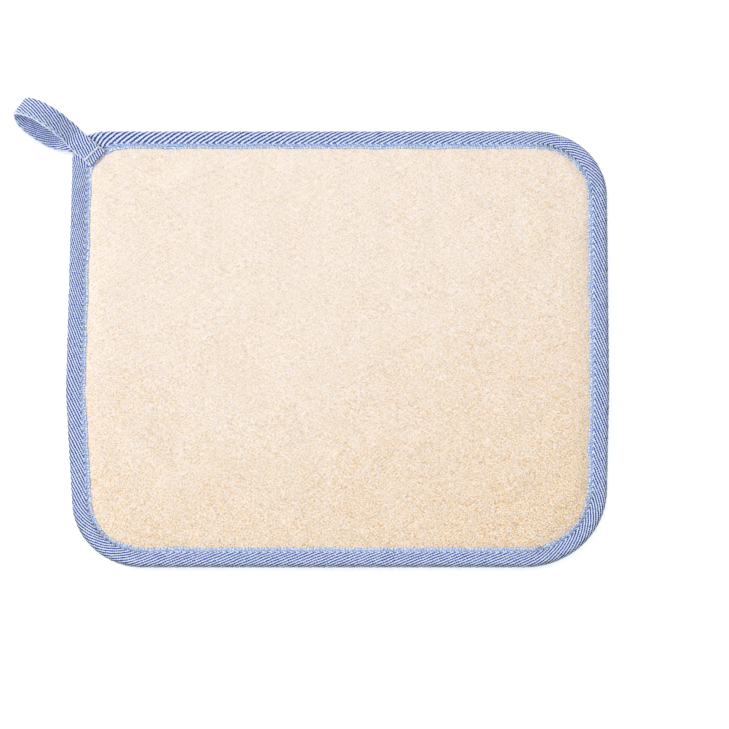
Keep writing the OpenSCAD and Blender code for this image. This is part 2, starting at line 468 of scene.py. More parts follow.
# The loofah cloth: its cells, the ridges that its slanting threads gather into, and the width of a fleck
CELL_W = 8.4
CELL_H = 4.4
HATCH = 1.5
FLECK = 0.42
GROUND_PALE = srgb(254, 242, 226)
GROUND_GOLDEN = srgb(253, 230, 192)
FIBRE_PALE = srgb(224, 188, 140)
FIBRE_GOLDEN = srgb(222, 172, 88)
FIBRE_WHITE = srgb(253, 246, 246)
FLECK_DARK = srgb(160, 138, 122)
# Painted shade for the hollows of the weave's cells
HOLLOW_SHADE = srgb(226, 184, 132)

# The twill: wales at a slant to the tape, which turn back in a pale speckled band beside its edges, the
# floats that break them up, and the picks of its woven edge
WALE_PITCH = 1.28
WALE_SLANT = math.radians(22.8)
REVERSED_W = 2.5
FLOAT_PITCH = 1.25
PICK_PITCH = 1.6
TWILL_BLUE = srgb(26, 52, 158)
TWILL_WHITE = srgb(224, 239, 255)
BAND_BLUE = srgb(108, 146, 220)
BAND_WHITE = srgb(228, 240, 255)
PULLED_BLUE = srgb(56, 74, 150)
# Painted shade, in the binding's gathers and its turn round the rim
SHADE_BLUE = srgb(8, 12, 50)
# Painted highlight along the strap's fold
FOLD_HIGHLIGHT = srgb(238, 242, 252)


def fine_threads(f, degrees, sway):
    """Short threads at a slant to the x axis, which gather a little into ridges, from about 0 to 1."""
    turned = f.turned(f.place, degrees)
    flecks = f.noise(f.scaled(turned, (0.4, 1.1, 1.0)), FLECK, 2, 0.6)
    ridges = f.wave(f.add(f.times(f.parts(turned)[1], 1 / HATCH), sway))
    return f.add(flecks, f.times(ridges, 0.07))


def loofah_material():
    """Undyed bast cloth: fine flecks of thread in a loose weave. It is more golden and darker towards the
    lower right and the edges, partly its own tone and partly painted shade, and has painted shade in the
    hollows of its cells.
    """
    f = Finish("loofah_cloth", 0.85, 0.08)
    x, y, _ = f.parts(f.place)
    across, up = f.times(x, 1 / RIGHT), f.times(y, 1 / TOP)
    middle = f.add(f.times(across, across), f.times(up, up))
    patch = f.noise(f.place, 22, 3)
    blotch = f.noise(f.scaled(f.turned(f.place, 35), (0.7, 1.2, 1.0)), 4, 2)
    corner = f.step(f.add(across, f.times(up, -1)), 1.1, 1.9)
    # Partly painted shade: darker and more golden towards the lower right and the edges, on top of the
    # cloth's own uneven tone
    tone_and_shade_slope = f.add(f.times(across, 0.2), f.times(up, -0.4), f.times(middle, 0.22), f.times(corner, 0.35))
    golden = f.add(-0.48, tone_and_shade_slope, f.times(patch, 0.5), f.times(blotch, 0.7))
    sway = f.times(f.noise(f.place, 4, 2), 2.5)
    rising, falling = fine_threads(f, -40, sway), fine_threads(f, 38, sway)
    specks = f.noise(f.scaled(f.place, (-1.0, 1.0, 1.0)), FLECK, 1)
    ground = f.mix(f.step(golden, -0.1, 1.1), GROUND_PALE, GROUND_GOLDEN)
    fibre = f.mix(f.step(golden, -0.2, 0.8), FIBRE_PALE, FIBRE_GOLDEN)
    colour = f.mix(f.times(f.step(rising, 0.52, 0.6), f.add(0.55, f.times(golden, 0.4))), ground, fibre)
    colour = f.mix(f.times(f.step(falling, 0.535, 0.6), 0.9), colour, FIBRE_WHITE)
    dark = f.times(f.step(specks, 0.56, 0.64), f.add(0.35, f.times(golden, 0.4)))
    colour = f.mix(dark, colour, FLECK_DARK)
    cell = f.times(f.math("COSINE", f.times(y, TURN / CELL_H)), f.math("COSINE", f.times(x, TURN / CELL_W)))
    # Painted shade: the hollows of the weave's cells turn darker and more golden, unevenly
    colour = f.mix(f.times(f.step(cell, 0.3, -1.0), f.times(patch, 0.2)), colour, HOLLOW_SHADE)
    relief = f.add(f.times(rising, 0.5), f.times(falling, 0.4), f.times(specks, 0.2))
    return f.done(colour, relief, 0.4)


def twill_material(name, breaks, selvage, edge_dark, edge_light, fold=None):
    """Blue and white twill tape: wales, a pale speckled band, and a woven edge as wide as selvage. breaks is
    how much the floats break up the wales. A strap gets a painted highlight along its fold, this far from its
    edge."""
    f = Finish(name, 0.75, 0.1)
    place = f.nodes.new("ShaderNodeAttribute")
    place.attribute_name = "tape"
    along, across, from_edge = f.parts(place.outputs["Vector"])
    wander = f.math("MULTIPLY_ADD", f.noise(f.place, 5, 3), 0.5, -0.25)
    s = f.times(along, math.sin(WALE_SLANT) / WALE_PITCH)
    w = f.times(across, math.cos(WALE_SLANT) / WALE_PITCH)
    bend = 2 * REVERSED_W * math.cos(WALE_SLANT) / WALE_PITCH
    folded = f.choose(f.math("LESS_THAN", across, REVERSED_W), w, f.math("SUBTRACT", bend, w))
    wale = f.wave(f.add(s, folded, wander))
    floats = f.wave(f.add(f.times(along, 1 / FLOAT_PITCH), f.times(across, -0.4 / FLOAT_PITCH), wander))
    fuzz = f.noise(f.place, 0.5, 1, 0.5)
    half_light = 1.295 + breaks / 2
    pattern = f.add(wale, f.times(floats, breaks), f.times(fuzz, 1.6))
    light = f.step(pattern, half_light - 0.15, half_light + 0.15)
    colour = f.mix(light, TWILL_BLUE, TWILL_WHITE)
    speckle = f.step(f.add(f.times(floats, 0.35), f.times(fuzz, 1.4), f.times(wale, 0.2)), 0.87, 1.05)
    calm = f.step(across, REVERSED_W + 0.5, REVERSED_W - 0.5)
    colour = f.mix(f.times(calm, 0.85), colour, f.mix(speckle, BAND_BLUE, BAND_WHITE))
    pull = f.times(f.step(from_edge, selvage + 0.9, selvage + 0.4), f.step(f.times(floats, fuzz), 0.2, 0.5))
    colour = f.mix(f.times(pull, 0.5), colour, PULLED_BLUE)
    picks = f.step(f.add(f.times(f.wave(f.times(along, 1 / PICK_PITCH)), 0.25), f.times(fuzz, 2)), 1.04, 1.24)
    colour = f.mix(f.step(from_edge, selvage + 0.3, selvage), colour, f.mix(picks, edge_dark, edge_light))
    # Painted shade: the binding's gathers, the turn round its rim and a strip beside the front tab are
    # darkened between the wales. The strap has no painted shade.
    painted_shade = f.nodes.new("ShaderNodeAttribute")
    painted_shade.attribute_name = "painted_shade"
    shade = f.times(painted_shade.outputs["Fac"], f.math("SUBTRACT", 1.0, f.times(light, 0.75)))
    colour = f.mix(shade, colour, SHADE_BLUE)
    if fold is not None:
        # A painted highlight along the strap's fold
        colour = f.mix(f.times(f.step(from_edge, fold - 0.1, fold + 0.5), 0.8), colour, FOLD_HIGHLIGHT)
    relief = f.add(f.times(wale, 0.7), f.times(floats, 0.2), f.times(fuzz, 0.25))
    return f.done(colour, relief, 0.3)


def terry_material():
    """White terry: a deep pile of small loops, with a little grey painted shade between them."""
    f = Finish("terry", 0.95, 0.4)
    loops = f.cells(f.scaled(f.place, (1.0, 1.2, 0.6)), 1.3)
    fuzz = f.noise(f.place, 0.4, 3, 0.6)
    patch = f.noise(f.place, 18, 2)
    height = f.math("SUBTRACT", 1.0, f.add(loops, f.times(fuzz, 0.3)))
    shade = f.step(f.add(height, f.times(patch, 0.2)), 0.1, 0.75)
    colour = f.mix(shade, srgb(206, 202, 192), srgb(244, 242, 236))
    return f.done(colour, height, 0.7)


def foam_material():
    """Pale yellow sponge with open pores, darker in them as painted shade."""
    f = Finish("foam", 0.9, 0.05)
    pores = f.cells(f.place, 1.1)
    fine = f.noise(f.place, 0.5, 3, 0.6)
    depth = f.step(f.add(pores, f.times(fine, 0.3)), 0.2, 0.6)
    colour = f.mix(depth, srgb(206, 186, 118), srgb(244, 232, 178))
    return f.done(colour, depth, 0.6)


def thread_material(name, dark, light):
    """Twisted sewing thread."""
    f = Finish(name, 0.6, 0.2)
    x, y, z = f.parts(f.place)
    twist = f.wave(f.add(f.times(x, 1.9), f.times(y, 1.9), f.times(z, 1.2)))
    fuzz = f.noise(f.place, 0.3, 2)
    share = f.step(f.add(twist, f.times(fuzz, 0.5)), 0.3, 1.1)
    return f.done(f.mix(share, dark, light), share, 0.12)


def paper_material():
    """The pale floor: matt, with hardly any tooth, and lit a little from below, as a light table is."""
    f = Finish("paper", 0.9, 0.0, 0.1)
    grain = f.noise(f.place, 1.5, 2)
    f.shader.inputs["Emission Color"].default_value = (1, 1, 1, 1)
    f.shader.inputs["Emission Strength"].default_value = FLOOR_GLOW
    return f.done(f.mix(grain, (0.97, 0.97, 0.97), (0.985, 0.985, 0.985)), grain, 0.02)


# ---- The padded layers ----

window = Outline(FLANGE, INNER_CORNER_R)

# The cloth simulation: the step of its grid, how slack and heavy the cloth is, its pressure, and its frames
SIM_STEP = 6
SIM_SLACK = 0.02
SIM_MASS = 0.05
SIM_PRESSURE = 4
SIM_FRAMES = 20
# Its result: how many blurs leave only the broad dome, what share of the rest is kept, and its most height
DOME_BLURS = 12
PUCKER_SHARE = 0.25
PUCKER_CAP = 0.4


def blurred(heights, times):
    """The grid of heights, each one evened out this many times with its four neighbours."""
    for _ in range(times):
        padded = np.pad(heights, 1, mode="edge")
        beside = padded[:-2, 1:-1] + padded[2:, 1:-1] + padded[1:-1, :-2] + padded[1:-1, 2:]
        heights = (beside + 4 * heights) / 8
    return heights


def simulated_puckers():
    """The puckers of a cloth pillow that is sewn down all round and blown up, without its broad dome, as x, y
    and heights on a coarse grid."""
    x, y = fitted_grid(FLANGE, SIM_STEP, 1)
    uneven = 0.3 * soft_noise(x, y, 20, 71)
    pillow = cloth_shell("pillow", x, y, 1 + uneven, uneven - 1, 1, None)
    rim = np.zeros(x.shape, bool)
    rim[[0, -1]] = rim[:, [0, -1]] = True
    sewn = pillow.vertex_groups.new(name="sewn")
    sewn.add([int(v) for v in np.flatnonzero(np.tile(rim.ravel(), 2))], 1.0, "REPLACE")
    cloth = pillow.modifiers.new("Cloth", "CLOTH")
    cloth.settings.quality = 6
    cloth.settings.mass = SIM_MASS
    cloth.settings.vertex_group_mass = "sewn"
    cloth.settings.shrink_min = -SIM_SLACK
    cloth.settings.use_pressure = True
    cloth.settings.uniform_pressure_force = SIM_PRESSURE
    cloth.settings.effector_weights.gravity = 0
    cloth.point_cache.frame_start = 1
    cloth.point_cache.frame_end = SIM_FRAMES
    scene = bpy.context.scene
    for frame_number in range(1, SIM_FRAMES + 1):
        scene.frame_set(frame_number)
    result = pillow.evaluated_get(bpy.context.evaluated_depsgraph_get()).data
    places = np.zeros(3 * len(result.vertices))
    result.vertices.foreach_get("co", places)
    heights = places.reshape(-1, 3)[:x.size, 2].reshape(x.shape) / MM
    bpy.data.objects.remove(pillow)
    scene.frame_set(1)
    small = PUCKER_SHARE * (heights - blurred(heights, DOME_BLURS))
    return x, y, PUCKER_CAP * np.tanh(small / PUCKER_CAP)


def resampled(grid, x, y):
    """A coarse grid's heights at places x, y inside it, by a smooth curve each way."""
    grid_x, grid_y, heights = grid
    row = (y - grid_y[0, 0]) / (grid_y[-1, 0] - grid_y[0, 0]) * (len(grid_y) - 1)
    row = np.clip(row, 0, len(grid_y) - 1.001)
    left = np.interp(row, np.arange(len(grid_y)), grid_x[:, 0])
    right = np.interp(row, np.arange(len(grid_y)), grid_x[:, -1])
    column = np.clip((x - left) / (right - left), 0, 0.9999) * (grid_x.shape[1] - 1)
    total = np.zeros_like(x)
    for i in range(-1, 3):
        for k in range(-1, 3):
            weight = cubic(row % 1 - i) * cubic(column % 1 - k)
            r = np.clip(row.astype(int) + i, 0, heights.shape[0] - 1)
            c = np.clip(column.astype(int) + k, 0, heights.shape[1] - 1)
            total += weight * heights[r, c]
    return total


def cubic(distance):
    """The weight of a sample at this distance, in a smooth curve through samples one apart."""
    d = abs(distance)
    near = 1 - 2.5 * d**2 + 1.5 * d**3
    far = 2 - 4 * d + 2.5 * d**2 - 0.5 * d**3
    return np.where(d < 1, near, np.where(d < 2, far, 0))


puckers = simulated_puckers()


def puff(x, y):
    """Soft hills in the padding, stronger towards the lower right corner, and the simulated puckers."""
    corner = smooth((x / RIGHT - y / TOP) / 2, 0.1, 0.9)
    hills = soft_noise(x, y, 34, 11, 1.4) * 0.16 + soft_noise(x, y, 15, 12, 1.6) * (0.07 + 0.2 * corner)
    return hills + resampled(puckers, x, y)


# The two cloth layers: how far in from the pad's edge they end, the step of their grids, and how many steps
# of a shown side make one of its hidden side
CLOTH_IN = 1.2
CLOTH_STEP = 0.85
CLOTH_EVERY = 3
# The gap left under the tape, how thick the cloths are there, and how soon the layers rise beside it
TAPE_GAP = 0.1
PINCHED_T = 0.75
RISE_W = 3.2


def layer_heights(x, y, at_edge, in_field, drop):
    """A layer's height: at_edge under the binding, rising to in_field from drop inside its window."""
    inside = window.inside(x, y)
    rise = 1 - np.exp(-np.maximum(inside - drop, 0) / RISE_W)
    return at_edge + (in_field - at_edge) * rise + puff(x, y) * rise


def make_loofah_face():
    """The loofah cloth, with its woven cells, its slubs, and its tucks beside the binding."""
    x, y = fitted_grid(CLOTH_IN, CLOTH_STEP, CLOTH_EVERY)
    inside = window.inside(x, y)
    rows = y / CELL_H + 0.12 * soft_noise(x, y, 30, 3)
    columns = x / CELL_W + 0.12 * soft_noise(x, y, 30, 4)
    weave = np.cos(TURN * rows) * np.cos(TURN * columns)
    slubs = soft_noise(x, y, 2.2, 5, 3.0)
    detail = 0.03 * weave + 0.05 * slubs
    tuck = 0.25 * soft_noise(x, y, 7, 6) * np.exp(-np.maximum(inside, 0) / 5)
    under_tape = EDGE_TOP - TAPE_T - TAPE_GAP
    shown = layer_heights(x, y, under_tape, FIELD_TOP + 0.1, 0.0)
    shown += (detail + tuck) * smooth(inside, 0.0, 2.5)
    hidden = layer_heights(x, y, under_tape - PINCHED_T, FIELD_TOP - FACE_T + 0.05, 0.8)
    return cloth_shell("loofah_face_cloth", x, y, shown, hidden, CLOTH_EVERY)


def make_terry_back():
    """The terry cloth, with its uneven rows of loops."""
    x, y = fitted_grid(CLOTH_IN, CLOTH_STEP, CLOTH_EVERY)
    inside = window.inside(x, y)
    wobble = 0.5 * soft_noise(x, y, 3.5, 21)
    loops = np.cos(TURN * (y / 2.1 + wobble)) * np.cos(TURN * (x / 2.6 + wobble))
    pile = loops + 0.8 * soft_noise(x, y, 2.4, 22)
    over_tape = EDGE_Z + TAPE_T + TAPE_GAP
    shown = layer_heights(x, y, over_tape, 0.1, 0.0)
    shown += np.clip(0.22 * pile, -0.4, 0.4) * smooth(inside, 0.0, 2.0)
    hidden = layer_heights(x, y, over_tape + PINCHED_T, TERRY_T - 0.05, 0.8)
    return cloth_shell("terry_back_cloth", x, y, shown, hidden, CLOTH_EVERY)


def make_foam():
    """The sponge, which is pinched thin under the binding and has its pores in the field."""
    x, y = fitted_grid(2.0, 1.5, 1)
    half_t = 0.35
    pores = (0.12 * soft_noise(x, y, 3.0, 31) - 0.1) * smooth(window.inside(x, y), 1.0, 4.0)
    top = layer_heights(x, y, EDGE_MID + half_t, FIELD_TOP - FACE_T - 0.05, 1.0) + pores
    low = layer_heights(x, y, EDGE_MID - half_t, TERRY_T + 0.05, 1.0) - pores
    return cloth_shell("foam_core_sponge", x, y, top, low, 1)


# ---- The hanging loop's place ----

# Its own frame: x runs out along the strap from the centre of the corner's arc, y across it and z up.
LOOP_ANGLE = math.radians(33)
LOOP_X = np.array([-math.cos(LOOP_ANGLE), math.sin(LOOP_ANGLE)])
LOOP_Y = np.array([-math.sin(LOOP_ANGLE), -math.cos(LOOP_ANGLE)])
CORNER_R = LOOP_CORNER[4]
LOOP_ORIGIN = np.array([LOOP_CORNER[0] + CORNER_R, LOOP_CORNER[1] - CORNER_R])
# The strap is a tape folded in two. Its tabs lie along the line STRAP_Y, the front one turned from it, and
# their tacks cross them at TACK_X.
STRAP_W = 10.8
STRAP_T = 2 * TAPE_T
STRAP_Y = -0.9
TAB_TURN = math.radians(9)
TACK_X = 6.8
# Where the strap folds when the loop swings
FOLD_X = CORNER_R + 4.2


def in_loop(plan):
    """Places in plan, in the loop's frame: distances along the strap and across it."""
    offset = plan - LOOP_ORIGIN
    return offset @ LOOP_X, offset @ LOOP_Y


def from_loop(points):
    """Points in the loop's frame, in the frame of the CAD model."""
    points = np.asarray(points, float)
    plan = LOOP_ORIGIN + points[..., :1] * LOOP_X + points[..., 1:2] * LOOP_Y
    return np.concatenate([plan, points[..., 2:3]], axis=-1)


def on_front_tab(x, y, turn=TAB_TURN):
    """Where a place in the loop's frame goes when a tab is turned about its middle at the pad's edge."""
    back, side = x - CORNER_R, y - STRAP_Y
    return (
        CORNER_R + back * math.cos(turn) + side * math.sin(turn),
        STRAP_Y - back * math.sin(turn) + side * math.cos(turn),
    )


# ---- The binding ----

# The tape goes round the pad's rim in half an ellipse, RIM_IN wide, with a flat part above and below.
RIM_IN = 1.9
FLAT_W = FLANGE - RIM_IN
RIM_W = math.pi * (RIM_IN + EDGE_TOP - EDGE_MID) / 2
TAPE_W = 2 * FLAT_W + RIM_W
# The step of its mesh round the pad, and how many points go across its outer side
RING_STEP = 0.605
SKIN_POINTS = 55


def twill_relief(along, across):
    """The height of the wales at places on the tape, from 0 to 1, flatter towards its edge."""
    folded = np.where(across < REVERSED_W, 2 * REVERSED_W - across, across)
    turns = (along * math.sin(WALE_SLANT) + folded * math.cos(WALE_SLANT)) / WALE_PITCH
    return (0.5 + 0.5 * np.sin(TURN * turns)) * (0.35 + 0.65 * smooth(across, 1, REVERSED_W + 1))


def tape_section(w):
    """The folded tape's section at distances w across it: how far in from the rim, height, and normal."""
    turn = np.clip((w - FLAT_W) / RIM_W, 0, 1) * math.pi
    flat = np.maximum(FLAT_W - w, 0) + np.maximum(w - FLAT_W - RIM_W, 0)
    inwards = flat + RIM_IN * (1 - np.sin(turn))
    height = EDGE_MID + (EDGE_TOP - EDGE_MID) * np.cos(turn)
    return inwards, height, -np.sin(turn), np.cos(turn)


def spare_tape(outer, inner):
    """The share of the tape's length that is too much on its inner side, which is 0 on the straights."""
    inner_step = np.linalg.norm(np.roll(inner, -1, axis=0) - inner, axis=1)
    outer_step = np.linalg.norm(np.roll(outer, -1, axis=0) - outer, axis=1)
    spare = np.clip(1 - inner_step / outer_step, 0, 0.5)[:, None]
    return (spare + np.roll(spare, 9, axis=0) + np.roll(spare, -9, axis=0)) / 3


def binding_skin(w, along, share, spare, valley):
    """The tape's outer side: how far in from the rim and how high each point lies."""
    near = np.minimum(w, TAPE_W - w)
    inwards, height, normal_in, normal_up = tape_section(w)
    side = np.sign(normal_up) * (abs(normal_up) > 0.5)
    # The stitches pull the flange down in dimples, and the tape bulges between them and the rim.
    stitch = np.cos(TURN * along / STITCH_PITCH)
    dimple = (0.36 + 0.08 * stitch + 1.5 * spare) * bump(inwards, STITCH_IN, 0.8)
    bulge = 0.25 * np.sin(math.pi * np.clip((inwards - RIM_IN) / (STITCH_IN - RIM_IN), 0, 1))
    curl = 0.25 * np.exp(-near / 0.3)
    # The inner side of a corner has too much tape, which gathers into small folds.
    folds = 3 * spare * (0.3 - valley) * smooth(inwards, 3, FLANGE - 1)
    drift = 0.12 * ring_noise(share, 60, 42)
    lift = side * (bulge - dimple - curl) + side * (folds * 0.55 + drift) * smooth(inwards, RIM_IN, 4)
    ragged = 0.22 * ring_noise(share, 110, 43) + 0.35 * ring_noise(share, 28, 45) + 0.1 * stitch
    relief = (0.24 + 0.26 * abs(normal_in)) * (twill_relief(along, near) - 0.5)
    across = inwards + normal_in * relief + ragged * smooth(inwards, 6, FLANGE)
    return across, height + normal_up * relief + lift


def painted_shade_depth(w, share, spare, valley, facing):
    """How dark the painted shade is at each point of the tape's outer side: in the gathers at the corners,
    and in the turn round the rim, which is darkest on the lower and right sides and hardly so at the top."""
    inwards = tape_section(w)[0]
    gather_line = STITCH_IN - 0.6 + 0.5 * ring_noise(share, 70, 44)
    gather = bump(inwards, gather_line, 0.7) * (0.8 + 0.2 * valley)
    gathered = np.maximum(gather, 0.5 * valley * smooth(inwards, 4, 8))
    uneven = 0.75 + 0.25 * ring_noise(share, 18, 46)
    at_corner = smooth(spare, 0.04, 0.2) * np.clip(gathered * uneven, 0, 1)
    turned_in = smooth(np.minimum(w, TAPE_W - w), FLAT_W + 0.12 * RIM_W, FLAT_W + 0.26 * RIM_W)
    return np.maximum(at_corner, (0.2 + 0.8 * smooth(facing, -0.8, 0.2)) * turned_in)


def beside_tab(plan):
    """The dent close beside the front tab's right edge, where its tack pulls the tape down, from 0 to 1. It
    also sets a painted shadow there.
    """
    out, beside = on_front_tab(*in_loop(plan), -TAB_TURN)
    return bump(beside, STRAP_Y - STRAP_W / 2 - 0.5, 0.9) * smooth(out, 1, 4)


def make_binding():
    """The binding tape, folded round the pad's edge, with the marks that its twill and its painted shade
    follow.
    """
    outer, inner, distance = round_pad(RING_STEP)
    share = distance[:-1, None] / distance[-1]
    # A whole number of wales goes round the pad, so that the pattern closes.
    wale_length = WALE_PITCH / math.sin(WALE_SLANT)
    pattern_length = round(distance[-1] / wale_length) * wale_length
    along = share * pattern_length

    spare = spare_tape(outer, inner)
    valley = 1 - smooth(abs(ring_noise(share, 95, 41)), 0, 0.55)
    skin = np.linspace(0, TAPE_W, SKIN_POINTS)
    across, up = binding_skin(skin[None, :], along, share, spare, valley)
    # The hidden side is plain, and goes back from the lower edge of the tape to the upper one.
    lining = np.concatenate([
        np.linspace(TAPE_W, TAPE_W - FLAT_W, 3),
        np.linspace(FLAT_W + RIM_W * 0.8, FLAT_W + RIM_W * 0.2, 3),
        np.linspace(FLAT_W, 0, 3),
    ])
    lining_in, lining_up, normal_in, normal_up = tape_section(lining)
    across = widened(across, lining_in - normal_in * TAPE_T)
    up = widened(up, lining_up - normal_up * TAPE_T)
    plan = outer[:, None] + (inner - outer)[:, None] * (across / FLANGE)[:, :, None]
    # The dent beside the front tab, which also carries a painted shadow
    dent_and_shadow = beside_tab(plan) * (up > EDGE_MID)
    up -= 0.5 * dent_and_shadow
    points = np.concatenate([plan, up[:, :, None]], axis=2)

    count, ring = up.shape
    faces = ring_faces(count, ring, True)[:, ::-1]
    piece = make_piece("edge_binding_tape", points.reshape(-1, 3), faces.tolist(), "pad")
    row, column = np.divmod(faces, ring)
    # The faces that close the ring reach the end of the pattern, not its start.
    closing = (row == 0) & (row.max(axis=1, keepdims=True) == count - 1)
    w = np.concatenate([skin, lining])
    mark_tape(piece, np.where(closing, pattern_length, along[:, 0][row]), np.minimum(w, TAPE_W - w)[column])
    # The painted shade round the rim is darkest on the side that faces this way.
    painted_shade_way = np.array([0.25, -0.97])
    facing = (outer - inner) @ painted_shade_way / np.linalg.norm(outer - inner, axis=1)
    depth = painted_shade_depth(skin[None, :], share, spare, valley, facing[:, None])
    # Painted shade: the gathers, the turn round the rim, and a painted shadow beside the front tab
    mark_painted_shade(piece, np.maximum(widened(depth, 0 * lining), dent_and_shadow))
    return piece


# ---- The hanging loop's strap ----

# The strap's centre line, from the end of the front tab round the loop to the end of the back tab, and its
# roll in degrees
STRAP = [
    (*on_front_tab(2.6, STRAP_Y), 6.38, 0),
    (*on_front_tab(9, STRAP_Y), 6.38, 0),
    (*on_front_tab(15.2, STRAP_Y), 6.36, 0),
    (17.8, -1.5, 5.82, 0),
    (20.7, -2.2, 5.98, 0),
    (25, -2.5, 8.3, 0),
    (31, -2.2, 11.9, 0),
    (37, -2, 13.6, 2),
    (44, -1.6, 12.7, 4),
    (49.2, -0.9, 10.0, 6),
    (51, -0.2, 6.8, 10),
    (49, 1.3, 3.9, 18),
    (44.5, 3.7, 3.1, 24),
    (39, 4.8, 3.2, 27),
    (34, 4.9, 3.1, 25),
    (29, 4.3, 2.7, 18),
    (24.8, 3.3, 3, 9),
    (20.7, 1.3, 4.4, 0),
    (18.3, -0.2, 4.2, 0),
    (16.95, STRAP_Y, 3.1, 0),
    (16.4, STRAP_Y, 1.75, 0),
    (15.0, STRAP_Y, 1.05, 0),
    (10, STRAP_Y, 1.03, 0),
    (4, STRAP_Y, 1.03, 0),
]

# How far in from the strap's open edge its seam runs
SEAM_IN = 1.1
# The strap shows the tape's pattern without the pale band beside its edge.
BAND_OUT = REVERSED_W + 0.6


def strap_frames(path):
    """Points, and the directions across the strap and out of its upper face, along its path."""
    middle, roll = path[:, :3], np.radians(path[:, 3])
    along = np.gradient(middle, axis=0)
    along /= np.linalg.norm(along, axis=1, keepdims=True)
    level = np.stack([np.zeros_like(roll), np.cos(roll), np.sin(roll)], axis=1)
    across = level - along * (level * along).sum(axis=1, keepdims=True)
    across /= np.linalg.norm(across, axis=1, keepdims=True)
    return middle, across, np.cross(along, across)


def make_strap():
    """The strap: a tape folded in two, which follows the centre line."""
    path, distance = spline(STRAP, 0.5)
    middle, across, over = strap_frames(path)
    fold_r = STRAP_T / 2
    flat_w = STRAP_W - fold_r
    fold_w = math.pi * fold_r
    width = 2 * flat_w + fold_w
    skin = np.concatenate([
        np.linspace(0, flat_w, 25),
        np.linspace(flat_w, flat_w + fold_w, 7)[1:-1],
        np.linspace(flat_w + fold_w, width, 25),
    ])
    near = np.minimum(skin, width - skin)
    turn = np.clip((skin - flat_w) / fold_w, 0, 1) * math.pi
    side = STRAP_W / 2 - np.minimum(near, flat_w) - fold_r * np.sin(turn)
    up = fold_r * np.cos(turn)
    relief = 0.22 * (twill_relief(-distance[:, None], near[None, :] + BAND_OUT) - 0.5)
    share = distance[:, None] / distance[-1]
    curl = 0.22 * np.exp(-near / 0.35)
    dent = 0.16 * bump(near, SEAM_IN, 0.6) * (1 + 0.4 * np.cos(TURN * distance[:, None] / STITCH_PITCH))
    sag = 0.12 * ring_noise(share, 9, 51) * (1 - np.exp(-near / 2))
    wave = 0.1 * ring_noise(share, 14, 52)
    y = side + np.where(near > flat_w - 0.01, -np.sin(turn) * relief, 0) + wave
    z = up + np.cos(turn) * (relief - (curl + dent) * (near < flat_w)) + sag
    # Between the two layers of the folded tape there is a thin gap, which opens at the strap's free edge.
    depth = np.array([0, 0.5, 1.0, 1.0, 0.5, 0]) * (STRAP_W - 1.2)
    gap = np.array([-0.06, -0.04, -0.02, 0.02, 0.04, 0.06])
    y = np.concatenate([y, STRAP_W / 2 - depth + wave], axis=1)
    z = widened(z, gap)
    points = middle[:, None] + across[:, None] * y[:, :, None] + over[:, None] * z[:, :, None]
    count, ring = y.shape
    faces = ring_faces(count, ring, False)[:, ::-1]
    ends = [list(range(ring)), list(range((count - 1) * ring, count * ring))[::-1]]
    piece = make_piece("loop_strap", from_loop(points).reshape(-1, 3), faces.tolist() + ends)
    row, column = np.divmod(np.concatenate([faces.ravel(), *ends]), ring)
    mark_tape(piece, -distance[row], np.concatenate([near, 0 * gap])[column], BAND_OUT)
    return piece


# ---- Threads ----

# Along one stitch: the places of its points, as shares of its length, and how deep the thread dives at each
ALONG_STITCH = np.linspace(-0.5, 0.5, 9)
DIVE = np.linspace(-1, 1, 9) ** 4
THREAD_R = 0.24
TACK_R = 0.5


def stitch_row(start, end, stitch=STITCH_LEN):
    """The points of evenly spaced stitches, between two distances along a seam: one row for each stitch."""
    count = round((end - start) / STITCH_PITCH)
    middles = start + (np.arange(count)[:, None] + 0.5) * (end - start) / count
    return middles + ALONG_STITCH * stitch


def stitch_places(tab_y):
    """Points in plan on each of the binding's stitches, without those that a tab at tab_y covers."""
    outer, inner, _ = round_pad(0.25)
    line = outer + (inner - outer) * STITCH_IN / FLANGE
    line = np.vstack([line, line[:1]])
    along = lengths_along(line)
    at = stitch_row(0, along[-1]) % along[-1]
    places = np.stack([np.interp(at, along, line[:, k]) for k in range(2)], axis=-1)
    out, across = in_loop(places[:, len(ALONG_STITCH) // 2])
    under = (out > 0) & (abs(across - tab_y) < (STRAP_W + STITCH_LEN) / 2 + 0.2)
    return places[~under]


def binding_thread(name, height, up, tab_y):
    """The binding's stitches on one side, at this height and bulging out in the direction up, 1 or -1."""
    places = stitch_places(tab_y)
    random = np.random.default_rng(61)
    z = height + up * (0.08 - 0.42 * DIVE + random.uniform(-0.05, 0.05, (len(places), 1)))
    return tubes(name, np.concatenate([places, z[:, :, None]], axis=2), THREAD_R, "pad")


def tack_thread(name, height, up, turn):
    """A row of stitches across a tab, turned with it, in thicker thread."""
    reach = STRAP_W / 2 - 0.6
    y = stitch_row(STRAP_Y - reach, STRAP_Y + reach, STITCH_LEN + 0.5)
    z = height + up * (0.55 - 0.75 * DIVE) + 0 * y
    x, y = on_front_tab(TACK_X + 0.12 * np.sin(y * 2), y, turn)
    return tubes(name, from_loop(np.stack([x, y, z], axis=-1)), TACK_R, "pad")


def seam_thread():
    """Stitches beside the open edge of the folded strap, on both faces of its free part."""
    path, distance = spline(STRAP, 0.1)
    middle, across, over = strap_frames(path)
    free = distance[path[:, 0] > FOLD_X + 3.4]
    stations = np.clip(np.searchsorted(distance, stitch_row(free[0], free[-1])), 0, len(distance) - 1)
    seam = middle[stations] + across[stations] * (STRAP_W / 2 - SEAM_IN)
    lift = (STRAP_T / 2 - 0.08 - 0.35 * DIVE)[None, :, None]
    paths = np.concatenate([seam + over[stations] * lift, seam - over[stations] * lift])
    return tubes("loop_seam_stitches", from_loop(paths), THREAD_R, "loop")


# ---- Build ----

